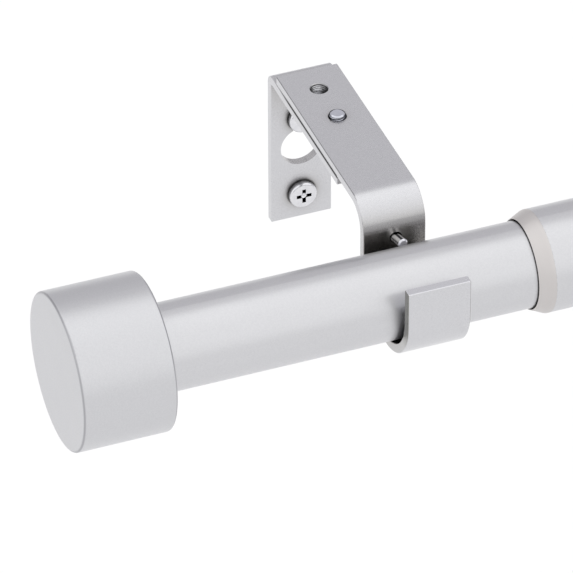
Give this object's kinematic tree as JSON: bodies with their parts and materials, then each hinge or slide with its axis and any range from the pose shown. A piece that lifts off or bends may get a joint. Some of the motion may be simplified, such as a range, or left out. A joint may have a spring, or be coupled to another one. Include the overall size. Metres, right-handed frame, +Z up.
{
  "type": "extendable curtain rod",
  "caption": "Telescoping metal curtain rod with cap finials, held off the wall by adjustable bent-strip brackets with set screws.",
  "frame": {"origin": "in the plane of the wall, midway between the two wall screws of the left bracket", "axes": "+X along the rod to its right end, +Y into the wall, +Z up"},
  "size_m": [0.7758, 0.113, 0.0519],
  "materials": {
    "tube_metal": "satin nickel",
    "cap_metal": "satin nickel",
    "bracket_metal": "satin nickel",
    "screw_metal": "bright zinc",
    "collar_plastic": "warm grey, matte",
    "white_plastic": "white, matte"
  },
  "bodies": {
    "left_plate": {"left_wall_plate": "bracket_metal", "left_upper_wall_screw": "screw_metal", "left_lower_wall_screw": "screw_metal"},
    "inner_rod": {"inner_tube": "tube_metal", "inner_guide": "white_plastic", "left_arm": "bracket_metal", "left_adjust_screw": "screw_metal"},
    "left_finial": {"left_finial_cap": "cap_metal", "left_finial_insert": "white_plastic"},
    "left_pin": {"left_set_screw": "screw_metal"},
    "outer_rod": {"outer_tube": "tube_metal", "collar": "collar_plastic", "right_arm": "bracket_metal", "right_adjust_screw": "screw_metal"},
    "right_finial": {"right_finial_cap": "cap_metal", "right_finial_insert": "white_plastic"},
    "right_pin": {"right_set_screw": "screw_metal"},
    "right_plate": {"right_wall_plate": "bracket_metal", "right_upper_wall_screw": "screw_metal", "right_lower_wall_screw": "screw_metal"}
  },
  "joints": [
    {"name": "projection", "type": "slide", "parent": "left_plate", "child": "inner_rod", "axis": [0, -1, 0], "range_m": [-0.006, 0.0115]},
    {"name": "rod_extension", "type": "slide", "parent": "inner_rod", "child": "outer_rod", "axis": [1, 0, 0], "range_m": [-0.018, 0.49]},
    {"name": "right_projection", "type": "slide", "parent": "outer_rod", "child": "right_plate", "axis": [0, 1, 0], "range_m": [-0.006, 0.0115]},
    {"name": "left_finial_pull", "type": "slide", "parent": "inner_rod", "child": "left_finial", "axis": [-1, 0, 0], "range_m": [0, 0.02]},
    {"name": "right_finial_pull", "type": "slide", "parent": "outer_rod", "child": "right_finial", "axis": [1, 0, 0], "range_m": [0, 0.02]},
    {"name": "left_set_screw_travel", "type": "slide", "parent": "inner_rod", "child": "left_pin", "axis": [-0.1556, 0.9823, -0.1045], "range_m": [0, 0.0049]},
    {"name": "right_set_screw_travel", "type": "slide", "parent": "outer_rod", "child": "right_pin", "axis": [-0.1556, 0.9823, -0.1045], "range_m": [0, 0.0019]}
  ],
  "couplings": [
    {"joint": "right_projection", "follows": "projection", "ratio": 1}
  ]
}
